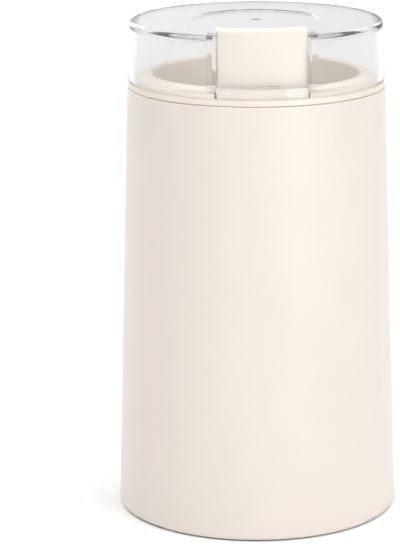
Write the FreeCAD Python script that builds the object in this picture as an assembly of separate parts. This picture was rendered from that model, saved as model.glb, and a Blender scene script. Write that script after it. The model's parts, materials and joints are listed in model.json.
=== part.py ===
# Electric spice grinder: a tapered moulded body, a clear lift-off lid with a window and a pocket at the
# front, and a press button that stands in the pocket. Inside are a steel bowl with a twisted blade, a
# commutator motor that hangs under the bowl, and the switch that the button presses.
# Sizes are in millimetres. Z is up, the feet rest on z = 0, the axis of the body is the Z axis, and the
# button is at the front, towards -Y.
import FreeCAD, Part
import math
import os
from FreeCAD import Vector

os.makedirs("parts", exist_ok=True)

# Body
body_base_radius = 46.0
body_base_z = 1.0
body_top_radius = 41.9
body_top_z = 140.4
body_wall = 2.2
column_radius = 3.6
column_top_z = 22.0
column_pilot_radius = 1.25
body_taper = (body_base_radius - body_top_radius) / (body_top_z - body_base_z)

# Collar that closes the top of the body and carries the lid
collar_ring_radius = 41.55
lid_seat_z = 142.7
lid_spigot_radius = 39.3
rim_outer_radius = 36.2
rim_inner_radius = 33.4
rim_z = 145.4
deck_under_z = 141.2
chamber_bottom_z = 131.6
chamber_outer_radius = 35.4
skirt_bottom_z = 133.0
skirt_gap = 0.15
skirt_wall = 1.55
shadow_gap = 0.45
ring_lip = 0.75
rim_edge = 0.9
rim_shoulder_z = 144.2
spigot_top_z = 143.7
boss_radius = 2.4
boss_pilot_radius = 1.15
boss_pilot_top_z = 138.5
slot_back_gap = 0.25
slot_front_gap = 0.3
rail_gap = 0.35
rail_wall = 1.55
rail_top_z = 137.5

# Lid
lid_bottom_radius = 41.75
lid_top_radius = 41.0
lid_top_z = 162.2
lid_wall = 2.0
lid_plate = 1.8
lid_edge = 1.6
lid_inner_edge = 1.0
lid_dish_radius = 20.5
lid_dish_depth = 0.45
gate_mark_radius = 1.9
gate_mark_depth = 0.35
pocket_half_width = 14.6
pocket_side_wall = 2.4
pocket_back_radius = 34.2
pocket_back_wall = 1.6
pocket_foot_z = 145.75
window_sill_z = 146.1
sill_nib = (1.0, 5.2, 0.7)

# Press button
button_half_width = 14.2
button_front_radius = 39.3
button_back_radius = 34.6
button_top_z = 164.3
button_travel = 2.5
button_side_rounding = 0.8
button_top_rounding = 1.2
button_wall = 1.2
button_top_wall = 1.8
button_rim_gap = 0.4
stem_back_radius = 36.55
stem_front_radius = 38.8
stem_half_width = 4.5
stem_foot_z = 118.0
spring_x = 11.3
spring_centre_radius = 37.8
spring_radius = 1.55
spring_wire = 0.45
spring_turns = 5
spring_seat_z = 132.5
spring_top_z = 141.0
spring_pad = 1.4
spring_pad_x = 8.6

# Snap hooks between the collar and the body
hook_z = 136.0
hook_depth = 0.7
hook_angles = (24, 54, 114, 144, 234, 294)

# Grinding bowl and its carrier
bowl_flange_z = 130.6
bowl_top_radius = 31.2
bowl_floor_radius = 28.6
bowl_floor_z = 97.8
bowl_sheet = 0.8
bowl_hub_z = 101.0
bowl_hub_bore = 4.4
bowl_flange_radius = 34.4
bowl_mouth_rounding = 0.8
bowl_floor_rounding = 7.0
gasket_thickness = 1.0
carrier_wall = 1.8
carrier_gap = 0.25
carrier_flange = 2.0
carrier_flange_radius = 35.3
carrier_bore = 7.2
screw_clearance_radius = 1.3
seal_radius = 5.0
seal_foot_radius = 7.15
seal_lip_z = 95.6
carrier_screw_radius = 37.0
carrier_screw_angles = (90, 210, 330)

# Blade, its hub and its nut
blade_top_z = 104.8
blade_thickness = 1.4
blade_eye_radius = 6.2
blade_rise = 4.6
blade_drop = 2.2
blade_stations = ((3.4, 5.0, 0.0, 0), (9.0, 5.4, 0.0, 0), (16.0, 5.0, 0.55, 7), (25.6, 3.0, 1.0, 12))
hub_bottom_z = 98.2
hub_neck_radius = 3.4
hub_cap_radius = 8.2
hub_cap_edge_z = 102.3
nut_corner_radius = 5.1
nut_shoulder_z = 108.4
nut_top_z = 111.0

# Motor
shaft_radius = 2.5
shaft_bottom_z = 9.5
shaft_top_z = 113.0
stack_bottom_z = 40.0
stack_top_z = 64.0
stator_length = 60.0
stator_depth = 48.0
yoke_side = 4.2
pole_half_width = 7.5
pole_shoe = 1.8
shoe_half_width = 13.0
stator_rounding = 7.0
window_rounding = 8.0
tie_hole_radius = 1.7
coil_half_width = 12.5
coil_overhang = 5.0
coil_rounding = 3.5
armature_radius = 15.0
air_gap = 0.5
armature_slots = 12
armature_slot_reach = (8.4, 14.0)
armature_slot_half_width = 1.5
armature_slot_mouth = 0.7
winding_radii = (5.0, 10.0, 13.9)
winding_top_z = 70.0
commutator_radius = 8.0
commutator_z = (22.0, 34.0)
riser_radius = 9.4
riser_height = 2.0
brush_z = (25.0, 31.0)
brush_box = (10.6, 22.6)
brush_outer = 16.0
brush_half_width = 3.0
brush_fit = 0.05
brush_block_half_width = 4.6
brush_block_reach = (12.5, 20.5)
brush_spring_radius = 1.9
brush_spring_wire = 0.4
brush_spring_turns = 4
box_wall = 0.6
fan_radius = 21.0
fan_z = (71.0, 79.0)
fan_blades = 9
fan_hub_radius = 6.0
fan_plate = 1.2
vane_thickness = 1.2
vane_lean = 18
leg_places = [(x, y) for x in (-25.2, 25.2) for y in (-19.4, 19.4)]
leg_radius = 3.6
leg_thread_radius = 1.5
leg_thread_depth = 14.0
bracket_outline = (28.8, 23.0, 3.6)
bracket_waist = (20.0, 10.0, 5.0)
bracket_waist_y = 26.0
cup_wall = 1.8
cup_floor = 0.8
running_clearance = 0.04
seat_clearance = 0.02
bearing_radius = 6.0
lower_bearing_z = (11.0, 17.0)
upper_bearing_z = (80.6, 86.6)
lower_plate_z = (16.0, 18.5)
upper_plate_z = (82.0, 84.5)
hanger_places = [(x, y) for x in (-19, 19) for y in (-11, 11)]
hanger_top_z = 93.8
damper_thickness = 2.0
damper_radius = 3.6
damper_bore = 1.6
hanger_post_radius = 3.2

# Switch
switch_z = (104.0, 114.0)
switch_front_y = -38.9
switch_back_y = -32.9
switch_half_width = 10.0
switch_hole_x = 4.9
switch_hole_radius = 1.15
switch_hole_rise = 2.6
switch_gap = 0.3
plunger_bore_depth = 4.0
terminal_x = 7.5
terminal_half_width = 1.4
terminal_y = (-36.0, -35.4)
terminal_length = 4.8
plunger_y = -37.3
plunger_radius = 1.2

# Base cover, feet and cord inlet
cover_radius = 43.5
cover_z = (1.4, 3.6)
cover_screw_radius = 38.0
cover_screw_angles = (20, 160, 270)
foot_radius = 5.0
foot_ring_radius = 35.0
foot_angles = (45, 135, 225, 315)
foot_recess = 0.5
foot_chamfer = 0.5
cover_screw_recess = 1.2
vent_slots = 16
vent_slot = (6.0, 1.1, 1.05)
vent_ring_radius = 19.0
suppressor_y = -27.5
suppressor_half = (9.0, 4.0)
suppressor_top_z = 15.0
suppressor_lead_x = 6.0
cradle_wall = 1.5
cradle_gap = 0.1
cradle_height = 5.0
inlet_z = 15.0
inlet_slot = (6.2, 3.8)
inlet_hole = (5.4, 4.2, 1.6)
inlet_recess = (7.6, 6.4, 3.0)
inlet_recess_depth = 1.3
inlet_fit = 0.1
saddle_half_width = 9.0
saddle_y = (31.5, 36.5)
clamp_screw_x = 6.6
clamp_height = 6.2
clamp_tunnel = (3.2, 3.9)
saddle_top_z = inlet_z - inlet_slot[1] / 2 - 0.1


def body_radius(z):
    """Outer radius of the tapered body at height z."""
    return body_base_radius - body_taper * (z - body_base_z)


def polar(radius, degrees):
    """X and Y of a point on a circle round the axis."""
    return radius * math.cos(math.radians(degrees)), radius * math.sin(math.radians(degrees))


def outline(corners, place):
    """Closed wire through corners (u, v, rounding), with an arc at each corner that has a rounding."""
    points = [Vector(c[0], c[1], 0) for c in corners]
    edges = []
    joins = []
    for i, here in enumerate(points):
        rounding = corners[i][2] if len(corners[i]) > 2 else 0
        back = (points[i - 1] - here).normalize()
        ahead = (points[(i + 1) % len(points)] - here).normalize()
        half = back.getAngle(ahead) / 2
        inward = (back + ahead).normalize() if rounding else Vector()
        setback = rounding / math.tan(half) if rounding else 0
        middle = here + inward * (rounding / math.sin(half) - rounding) if rounding else here
        joins.append((here + back * setback, middle, here + ahead * setback))
    for i, (start, middle, end) in enumerate(joins):
        if corners[i][2:] and corners[i][2]:
            edges.append(Part.Arc(place(start), place(middle), place(end)).toShape())
        following = joins[(i + 1) % len(joins)][0]
        if (following - end).Length > 1e-6:
            edges.append(Part.LineSegment(place(end), place(following)).toShape())
    return Part.Wire(edges)


def solid(shape):
    """The shape with its faces turned outwards."""
    if shape.Volume < 0:
        shape.reverse()
    return shape


def turned(corners, degrees=360):
    """Solid of revolution round Z from a section given as (radius, z, rounding) corners."""
    wire = outline(corners, lambda p: Vector(p.x, 0, p.y))
    return solid(Part.Face(wire).revolve(Vector(0, 0, 0), Vector(0, 0, 1), degrees))


def plate(corners, z0, z1):
    """Flat plate with a (x, y, rounding) outline between two heights."""
    wire = outline(corners, lambda p: Vector(p.x, p.y, z0))
    return solid(Part.Face(wire).extrude(Vector(0, 0, z1 - z0)))


def rectangle(half_x, half_y, rounding, x=0, y=0):
    """Corners of a rounded rectangle."""
    signs = ((-1, -1), (1, -1), (1, 1), (-1, 1))
    return [(x + sx * half_x, y + sy * half_y, rounding) for sx, sy in signs]


def block(x0, x1, y0, y1, z0, z1):
    """Box between two corners."""
    return Part.makeBox(x1 - x0, y1 - y0, z1 - z0, Vector(x0, y0, z0))


def rod(radius, z0, z1, x=0, y=0):
    """Upright cylinder."""
    return Part.makeCylinder(radius, z1 - z0, Vector(x, y, z0))


def tube(inner, outer, z0, z1, x=0, y=0):
    """Upright ring."""
    return rod(outer, z0, z1, x, y).cut(rod(inner, z0 - 1, z1 + 1, x, y))


def front_slice(half_width, inner, outer, z0, z1):
    """The part of a ring round the axis that lies at the front, between two planes of constant X."""
    return tube(inner, outer, z0, z1).common(block(-half_width, half_width, -outer - 1, 0, z0, z1))


def turned_copies(shape, angles):
    """Copies of a shape turned round the axis."""
    copies = []
    for angle in angles:
        copy = shape.copy()
        copy.rotate(Vector(0, 0, 0), Vector(0, 0, 1), angle)
        copies.append(copy)
    return copies


def screw(x, y, head_z, tip_z, shank, head, head_height):
    """Pan-head screw with a cross recess. The head is at head_z and the shank runs to tip_z."""
    away = -1 if tip_z > head_z else 1
    low, high = sorted((head_z, head_z + away * head_height))
    body = rod(shank, min(head_z, tip_z), max(head_z, tip_z), x, y).fuse(rod(head, low, high, x, y))
    face = head_z + away * head_height
    low, high = sorted((face, face - away * head_height * 0.6))
    arm = head * 0.62
    slot = head * 0.14
    cross = block(x - arm, x + arm, y - slot, y + slot, low, high)
    cross = cross.fuse(block(x - slot, x + slot, y - arm, y + arm, low, high))
    return body.cut(cross)


def helix_point(radius, pitch, turns):
    """Point and unit tangent on a helix round Z that starts at (radius, 0, 0)."""
    angle = 2 * math.pi * turns
    point = Vector(radius * math.cos(angle), radius * math.sin(angle), pitch * turns)
    tangent = Vector(-radius * math.sin(angle), radius * math.cos(angle), pitch / (2 * math.pi))
    return point, tangent.normalize()


def tangent_arc(start, corner, end):
    """Arc from start to end whose end tangents meet at corner, as far from one as from the other."""
    half_chord = (end - start).Length / 2
    side = (corner - start).Length
    middle = (start + end) * 0.5
    height = (corner - middle).Length
    sagitta = half_chord * (side - half_chord) / height
    return Part.Arc(start, middle + (corner - middle).normalize() * sagitta, end).toShape()


def coil(radius, wire, length, turns):
    """Coil spring round Z from z = 0, one unbroken tube on two tangent arcs to each half turn."""
    mean = radius - wire / 2
    pitch = (length - wire) / turns
    edges = []
    for i in range(2 * turns):
        start, leave = helix_point(mean, pitch, i / 2)
        end, arrive = helix_point(mean, pitch, (i + 1) / 2)
        chord = end - start
        along = chord.dot(leave + arrive)
        spread = 2 * (1 - leave.dot(arrive))
        reach = (math.sqrt(along**2 + spread * chord.dot(chord)) - along) / spread
        first = start + leave * reach
        last = end - arrive * reach
        joint = (first + last) * 0.5
        edges.append(tangent_arc(start, first, joint))
        edges.append(tangent_arc(joint, last, end))
    begin, heading = helix_point(mean, pitch, 0)
    section = Part.Wire(Part.makeCircle(wire / 2, begin, heading))
    tube_shape = solid(Part.Wire(edges).makePipeShell([section], True, False))
    tube_shape.translate(Vector(0, 0, wire / 2))
    gap = least_gap(mean, pitch, turns) - wire
    print("coil of %d turns: least gap between turns %.2f mm" % (turns, gap))
    return tube_shape


def least_gap(radius, pitch, turns):
    """Least distance between points of a helix that lie half a turn or more apart."""
    points = [helix_point(radius, pitch, i / 24)[0] for i in range(24 * turns + 1)]
    gaps = []
    for i, point in enumerate(points):
        gaps += [(other - point).Length for other in points[i + 12:]]
    return min(gaps)


def make_body_shell():
    """Tapered outer casing, open at both ends, with screw columns for the base cover."""
    inner = body_wall
    shell = turned([
        (body_base_radius, body_base_z, 1.1),
        (body_top_radius, body_top_z, 0.35),
        (body_top_radius - inner, body_top_z),
        (body_radius(hook_z) - inner, hook_z),
        (body_radius(hook_z) - inner + hook_depth, hook_z),
        (body_radius(hook_z - 1) - inner + hook_depth, hook_z - 1),
        (body_radius(hook_z - 2) - inner, hook_z - 2),
        (body_base_radius - inner, body_base_z, 0.3),
    ])
    for angle in cover_screw_angles:
        x, y = polar(cover_screw_radius, angle)
        column = rod(column_radius, cover_z[1], column_top_z, x, y)
        web = block(cover_screw_radius, body_base_radius, -1.1, 1.1, cover_z[1], column_top_z)
        web.rotate(Vector(0, 0, 0), Vector(0, 0, 1), angle)
        inside = turned([
            (0, cover_z[1]),
            (body_radius(cover_z[1]) - inner + 0.3, cover_z[1]),
            (body_radius(column_top_z) - inner + 0.3, column_top_z),
            (0, column_top_z),
        ])
        shell = shell.fuse(column.fuse(web).common(inside))
        shell = shell.cut(rod(column_pilot_radius, cover_z[1] - 1, column_top_z - 3, x, y))
    hole = inlet_prism(*inlet_hole, 38, 50)
    recess = inlet_prism(*inlet_recess, body_radius(inlet_z) - inlet_recess_depth, 50)
    return shell.cut(hole).cut(recess).removeSplitter()


def inlet_prism(half_x, half_z, rounding, y0, y1):
    """Rounded rectangular prism along Y at the cord inlet."""
    wire = outline(rectangle(half_x, half_z, rounding), lambda p: Vector(p.x, y0, inlet_z + p.y))
    return solid(Part.Face(wire).extrude(Vector(0, y1 - y0, 0)))


def make_collar():
    """Top moulding: chamber wall, rim, lid seat, skirt, button slot and lip, bosses and snap hooks."""
    skirt_outer = body_top_radius - body_wall - skirt_gap
    skirt_inner = skirt_outer - skirt_wall
    collar = turned([
        (rim_inner_radius, rim_z, rim_edge),
        (rim_outer_radius, rim_z, rim_edge),
        (rim_outer_radius, rim_shoulder_z, 0.4),
        (lid_spigot_radius, spigot_top_z, 0.4),
        (lid_spigot_radius, lid_seat_z),
        (collar_ring_radius, lid_seat_z, 0.3),
        (collar_ring_radius, body_top_z + shadow_gap, 0.25),
        (collar_ring_radius - ring_lip, body_top_z + shadow_gap),
        (collar_ring_radius - ring_lip, body_top_z),
        (skirt_outer, body_top_z),
        (skirt_outer, skirt_bottom_z),
        (skirt_inner, skirt_bottom_z),
        (skirt_inner, deck_under_z),
        (chamber_outer_radius, deck_under_z),
        (chamber_outer_radius, chamber_bottom_z),
        (rim_inner_radius - 0.8, chamber_bottom_z),
    ])
    for angle in carrier_screw_angles:
        x, y = polar(carrier_screw_radius, angle)
        boss = rod(boss_radius, bowl_flange_z - bowl_sheet, deck_under_z + 0.5, x, y)
        pilot = rod(boss_pilot_radius, bowl_flange_z - 2, boss_pilot_top_z, x, y)
        collar = collar.fuse(boss).cut(pilot)
    slot_back = stem_back_radius - slot_back_gap
    slot = front_slice(pocket_half_width, slot_back, button_front_radius + slot_front_gap, 132, 150)
    back_step = front_slice(pocket_half_width, slot_back, 50, rim_z - 3, 150)
    collar = collar.cut(slot).cut(back_step.cut(rod(50, 100, lid_seat_z)))
    for side in (-1, 1):
        inner_x, outer_x = sorted((side * spring_pad_x, side * 14.0))
        shelf = tube(chamber_outer_radius - 0.4, button_front_radius,
                     spring_seat_z - spring_pad, spring_seat_z)
        shelf = shelf.common(block(inner_x, outer_x, -45, -20, 120, 150))
        rail_near = stem_half_width + rail_gap
        rail_a, rail_b = sorted((side * rail_near, side * (rail_near + rail_wall)))
        rail = tube(chamber_outer_radius - 0.4, stem_front_radius, chamber_bottom_z, rail_top_z)
        rail = rail.common(block(rail_a, rail_b, -45, -20, 120, 150))
        collar = collar.fuse(shelf).fuse(rail)
    hook = turned([
        (skirt_inner, hook_z - 2.2),
        (skirt_outer, hook_z - 2.2),
        (skirt_outer + 0.5, hook_z - 1.2),
        (skirt_outer + 0.5, hook_z - 0.2),
        (skirt_inner, hook_z - 0.2),
    ], 12)
    for copy in turned_copies(hook, hook_angles):
        collar = collar.fuse(copy)
    return collar.removeSplitter()


def make_lid():
    """Clear lid: a cup with a round top edge, a dished top, and a pocket for the button."""
    envelope = turned([
        (0, lid_seat_z),
        (lid_bottom_radius, lid_seat_z, 0.3),
        (lid_top_radius, lid_top_z, lid_edge),
        (0, lid_top_z),
    ])
    hollow = turned([
        (0, lid_seat_z - 1),
        (lid_bottom_radius - lid_wall, lid_seat_z - 1),
        (lid_top_radius - lid_wall, lid_top_z - lid_plate, lid_inner_edge),
        (0, lid_top_z - lid_plate),
    ])
    wall_half_width = pocket_half_width + pocket_side_wall
    wall_back = pocket_back_radius - pocket_back_wall
    walls = front_slice(wall_half_width, wall_back, 50, pocket_foot_z, lid_top_z).common(envelope)
    void = front_slice(pocket_half_width, pocket_back_radius, lid_bottom_radius - lid_wall, lid_seat_z,
                       lid_top_z + 1)
    void = void.fuse(front_slice(pocket_half_width, lid_bottom_radius - lid_wall - 1, 60, window_sill_z,
                                 lid_top_z + 1))
    nib_start, nib_end, nib_height = sill_nib
    nib = front_slice(nib_end, lid_bottom_radius - lid_wall + 0.4, lid_bottom_radius - 0.5,
                      window_sill_z - 1, window_sill_z + nib_height)
    nib = nib.common(block(nib_start, nib_end, -60, 0, 140, 150))
    dish = turned([
        (0, lid_top_z - lid_dish_depth),
        (lid_dish_radius - 0.3, lid_top_z - lid_dish_depth),
        (lid_dish_radius, lid_top_z + 1),
        (0, lid_top_z + 1),
    ])
    gate_mark = turned([
        (0, lid_top_z - lid_dish_depth - gate_mark_depth),
        (gate_mark_radius, lid_top_z - lid_dish_depth),
        (gate_mark_radius, lid_top_z),
        (0, lid_top_z),
    ])
    lid = envelope.cut(hollow).fuse(walls).cut(void).fuse(nib).cut(dish).cut(gate_mark)
    return lid.removeSplitter()


def upright_front_edges(shape, front_side_y):
    """Upright edges of the button where its front meets its sides."""
    return [e for e in shape.Edges if e.BoundBox.ZLength > 5 and e.BoundBox.YMin < front_side_y + 0.01]


def make_button():
    """Press button: curved block with a round top, hollow from below, on a stem that meets the switch."""
    step_z = rim_z + button_travel + button_rim_gap
    front_side_y = -math.sqrt(button_front_radius**2 - button_half_width**2)
    head = front_slice(button_half_width, button_back_radius, button_front_radius, step_z, button_top_z)
    head = head.makeFillet(button_side_rounding, upright_front_edges(head, front_side_y))
    top_edges = [e for e in head.Edges if e.BoundBox.ZMin > button_top_z - 0.01]
    head = head.makeFillet(button_top_rounding, top_edges)
    skirt = front_slice(button_half_width, stem_back_radius, button_front_radius, spring_top_z, step_z + 1)
    body = head.fuse(skirt.makeFillet(button_side_rounding, upright_front_edges(skirt, front_side_y)))
    hollow = front_slice(button_half_width - button_wall, button_back_radius + button_wall,
                         button_front_radius - button_wall, spring_top_z + spring_pad,
                         button_top_z - button_top_wall)
    mouth = front_slice(spring_pad_x, button_back_radius, button_front_radius - button_wall,
                        spring_top_z - 1, spring_top_z + spring_pad + 1)
    stem = front_slice(stem_half_width, stem_back_radius, stem_front_radius, stem_foot_z,
                       button_top_z - button_top_wall)
    return body.cut(hollow.fuse(mouth)).fuse(stem).removeSplitter()


def make_button_springs():
    """Two coil springs between the collar's shelves and the button's skirt."""
    y = -math.sqrt(spring_centre_radius**2 - spring_x**2)
    springs = []
    for x in (-spring_x, spring_x):
        spring = coil(spring_radius, spring_wire, spring_top_z - spring_seat_z, spring_turns)
        spring.translate(Vector(x, y, spring_seat_z))
        springs.append(spring)
    return Part.Compound(springs)


def make_bowl():
    """Spun steel bowl with a rolled flange and a raised hub round the shaft."""
    t = bowl_sheet
    return turned([
        (bowl_flange_radius, bowl_flange_z),
        (bowl_top_radius, bowl_flange_z, bowl_mouth_rounding),
        (bowl_floor_radius, bowl_floor_z, bowl_floor_rounding),
        (8.5, bowl_floor_z, 1.2),
        (6.4, bowl_hub_z, 1.0),
        (bowl_hub_bore, bowl_hub_z),
        (bowl_hub_bore, bowl_hub_z - t),
        (5.9, bowl_hub_z - t, 0.4),
        (7.9, bowl_floor_z - t, 1.8),
        (bowl_floor_radius + t * 0.95, bowl_floor_z - t, bowl_floor_rounding + t),
        (bowl_top_radius + t, bowl_flange_z - t, 0.3),
        (bowl_flange_radius, bowl_flange_z - t),
    ])


def make_gasket():
    """Flat rubber ring between the bowl's flange and the collar."""
    return tube(bowl_top_radius + 0.3, bowl_flange_radius, bowl_flange_z, bowl_flange_z + gasket_thickness)


def make_bowl_carrier():
    """Inner frame that clamps the bowl to the collar and hangs the motor and the switch."""
    gap = bowl_sheet + carrier_gap
    out = gap + carrier_wall
    rounding = bowl_floor_rounding + 1.0
    top_z = bowl_flange_z - bowl_sheet
    under_z = top_z - carrier_flange
    inside = turned([
        (0, top_z),
        (bowl_top_radius + gap + 0.1, top_z),
        (bowl_floor_radius + gap, bowl_floor_z - gap, rounding),
        (0, bowl_floor_z - gap),
    ])
    carrier = turned([
        (carrier_flange_radius, top_z),
        (bowl_top_radius + gap + 0.1, top_z),
        (bowl_floor_radius + gap, bowl_floor_z - gap, rounding),
        (carrier_bore, bowl_floor_z - gap),
        (carrier_bore, hanger_top_z),
        (bowl_floor_radius + out - 1, hanger_top_z, 6.0),
        (bowl_top_radius + out, under_z),
        (carrier_flange_radius, under_z),
    ])
    for angle in carrier_screw_angles:
        x, y = polar(carrier_screw_radius, angle)
        ear = rod(boss_radius, under_z, top_z, x, y)
        web = block(34.0, carrier_screw_radius, -boss_radius, boss_radius, under_z, top_z)
        web.rotate(Vector(0, 0, 0), Vector(0, 0, 1), angle)
        carrier = carrier.fuse(ear).fuse(web).cut(rod(screw_clearance_radius, under_z - 1, top_z + 1, x, y))
    for x, y in hanger_places:
        post = rod(hanger_post_radius, upper_plate_z[1] + damper_thickness, hanger_top_z + 1, x, y)
        carrier = carrier.fuse(post).cut(rod(screw_clearance_radius, 80, hanger_top_z + 0.5, x, y))
    half = switch_half_width
    low, high = switch_z
    pad = block(-half, half, switch_back_y, -25, low, high)
    half = half + switch_gap
    flat = block(-half, half, -45, switch_back_y, low - 0.5, high + 0.5)
    return carrier.fuse(pad.cut(inside)).cut(flat).removeSplitter()


def make_shaft_seal():
    """Rubber lip seal between the carrier, the bowl's hub and the shaft."""
    bore = shaft_radius + running_clearance
    top_z = bowl_hub_z - bowl_sheet - 0.05
    shoulder_z = bowl_floor_z - bowl_sheet - 0.3
    return turned([
        (bore, seal_lip_z),
        (bore, seal_lip_z + 1.0),
        (bore + 1.0, seal_lip_z + 1.6),
        (bore + 1.0, top_z),
        (seal_radius, top_z),
        (seal_radius, shoulder_z),
        (seal_foot_radius, shoulder_z),
        (seal_foot_radius, hanger_top_z),
        (seal_radius + 0.4, hanger_top_z),
        (seal_radius + 0.4, seal_lip_z),
    ])


def make_blade():
    """Two-armed blade: each arm is a twisted, tapering strip, one swept up and one swept down."""
    under = -blade_thickness
    blade = tube(shaft_radius + seat_clearance, blade_eye_radius, blade_top_z + under, blade_top_z)
    for side, tip_lift in ((1, blade_rise), (-1, -blade_drop)):
        sections = []
        for distance, half_width, share, twist in blade_stations:
            top_z = blade_top_z + tip_lift * share
            lean = math.radians(twist) * side
            corners = []
            for u, v in ((-half_width, under), (half_width, under), (half_width, 0), (-half_width, 0)):
                corners.append(Vector(side * distance, u * math.cos(lean) - v * math.sin(lean),
                                      top_z + u * math.sin(lean) + v * math.cos(lean)))
            sections.append(Part.makePolygon(corners + corners[:1]))
        blade = blade.fuse(Part.makeLoft(sections, True, True))
    return blade.cut(rod(shaft_radius + seat_clearance, 95, 115)).removeSplitter()


def make_blade_hub():
    """Moulded sleeve under the blade that shields the bowl's hub and drives the blade."""
    bore = shaft_radius + seat_clearance
    top_z = blade_top_z - blade_thickness
    return turned([
        (bore, top_z),
        (bore, hub_bottom_z),
        (hub_neck_radius, hub_bottom_z),
        (hub_neck_radius, bowl_hub_z + 0.5),
        (hub_cap_radius, bowl_hub_z + 0.5),
        (hub_cap_radius, hub_cap_edge_z, 0.4),
        (blade_eye_radius, top_z, 0.4),
    ])


def make_blade_nut():
    """Domed hexagon nut that clamps the blade on the shaft's thread."""
    points = [Vector(*polar(nut_corner_radius - 0.1, 60 * i), blade_top_z) for i in range(7)]
    hexagon = Part.Face(Part.makePolygon(points)).extrude(Vector(0, 0, nut_top_z - blade_top_z))
    dome = turned([
        (shaft_radius + seat_clearance, blade_top_z),
        (nut_corner_radius, blade_top_z),
        (nut_corner_radius, nut_shoulder_z, 0.4),
        (nut_corner_radius - 1.7, nut_top_z, 1.2),
        (shaft_radius + seat_clearance, nut_top_z),
    ])
    return hexagon.common(dome)


def make_shaft():
    """Motor shaft with chamfered ends."""
    return turned([
        (0, shaft_bottom_z),
        (shaft_radius - 0.4, shaft_bottom_z),
        (shaft_radius, shaft_bottom_z + 0.5),
        (shaft_radius, shaft_top_z - 0.6),
        (shaft_radius - 0.6, shaft_top_z),
        (0, shaft_top_z),
    ])


def make_armature_core():
    """Slotted lamination stack on the shaft."""
    core = tube(shaft_radius + seat_clearance, armature_radius, stack_bottom_z, stack_top_z)
    slot_in, slot_out = armature_slot_reach
    half = armature_slot_half_width
    slot = block(slot_in, slot_out, -half, half, stack_bottom_z - 1, stack_top_z + 1)
    mouth = block(slot_out - 1, armature_radius + 1, -armature_slot_mouth, armature_slot_mouth,
                  stack_bottom_z - 1, stack_top_z + 1)
    angles = [360 / armature_slots * i for i in range(armature_slots)]
    for cutter in turned_copies(slot.fuse(mouth), angles):
        core = core.cut(cutter)
    return core


def make_armature_windings():
    """Wound end turns, one bundle at each end of the stack, joined by the wire in the slots."""
    bore, tip_radius, full_radius = winding_radii
    ends = []
    for stack_z, end_z in ((stack_bottom_z, commutator_z[1]), (stack_top_z, winding_top_z)):
        ends.append(turned([
            (bore, stack_z),
            (full_radius, stack_z),
            (full_radius, (stack_z + end_z) / 2, 1.5),
            (tip_radius, end_z, 2.0),
            (bore, end_z),
        ]))
    slot_in, slot_out = armature_slot_reach
    half = armature_slot_half_width - 0.15
    wire = block(slot_in + 0.1, slot_out - 1.2, -half, half, stack_bottom_z - 0.5, stack_top_z + 0.5)
    windings = ends[0].fuse(ends[1])
    for bundle in turned_copies(wire, [360 / armature_slots * i for i in range(armature_slots)]):
        windings = windings.fuse(bundle)
    return windings.removeSplitter()


def make_commutator():
    """Copper commutator with slots between its segments and a riser at the windings."""
    low, high = commutator_z
    body = turned([
        (shaft_radius + seat_clearance, low),
        (commutator_radius - 0.4, low),
        (commutator_radius, low + 0.4),
        (commutator_radius, high - riser_height - 0.2),
        (riser_radius, high - riser_height),
        (riser_radius, high),
        (shaft_radius + seat_clearance, high),
    ])
    slot = block(commutator_radius - 0.8, 10, -0.2, 0.2, low - 1, high + 1)
    for cutter in turned_copies(slot, [360 / armature_slots * i for i in range(armature_slots)]):
        body = body.cut(cutter)
    return body


def make_fan():
    """Moulded cooling fan: hub, back plate and leaning vanes."""
    low, high = fan_z
    bore = shaft_radius + seat_clearance
    half = vane_thickness / 2
    root = fan_hub_radius - 0.5
    fan = tube(bore, fan_hub_radius, low, high).fuse(tube(bore, fan_radius, high - fan_plate, high))
    vane = block(root, fan_radius - 0.6, -half, half, low + 0.6, high - 1.0)
    vane.rotate(Vector(root, 0, 0), Vector(0, 0, 1), -vane_lean)
    vane = vane.common(rod(fan_radius, low, high))
    for copy in turned_copies(vane, [360 / fan_blades * i for i in range(fan_blades)]):
        fan = fan.fuse(copy)
    return fan.removeSplitter()


def make_stator_core():
    """Lamination stack: a rounded frame with two poles that face the armature, and four screw holes."""
    low, high = stack_bottom_z, stack_top_z
    bore = armature_radius + air_gap
    window_x = stator_length / 2 - yoke_side
    window_y = stator_depth / 2 - yoke_side
    core = plate(rectangle(stator_length / 2, stator_depth / 2, stator_rounding), low, high)
    core = core.cut(plate(rectangle(window_x, window_y, window_rounding), low - 1, high + 1))
    neck = block(-window_x - 1, window_x + 1, -pole_half_width, pole_half_width, low, high)
    shoe = tube(bore, bore + pole_shoe, low, high)
    shoe = shoe.common(block(-30, 30, -shoe_half_width, shoe_half_width, low, high))
    core = core.fuse(neck.fuse(shoe)).cut(rod(bore, low - 1, high + 1))
    for x, y in leg_places:
        core = core.cut(rod(tie_hole_radius, low - 1, high + 1, x, y))
    return core.removeSplitter()


def make_field_coils():
    """Two field coils, each wound round one pole's neck."""
    inner_x = math.sqrt((armature_radius + air_gap + pole_shoe)**2 - pole_half_width**2) + 1.6
    outer_x = stator_length / 2 - yoke_side - 0.6
    half = coil_half_width
    coils = []
    for side in (-1, 1):
        x0, x1 = sorted((side * inner_x, side * outer_x))
        outer = block(x0, x1, -half, half, stack_bottom_z - coil_overhang, stack_top_z + coil_overhang)
        outer = outer.makeFillet(coil_rounding, [e for e in outer.Edges if e.BoundBox.XLength > 3])
        neck = block(-30, 30, -pole_half_width, pole_half_width, stack_bottom_z, stack_top_z)
        coils.append(outer.cut(neck))
    return Part.Compound(coils)


def make_bearings(z_range):
    """Sintered sleeve bearing."""
    return tube(shaft_radius + running_clearance, bearing_radius, z_range[0], z_range[1])


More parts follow.
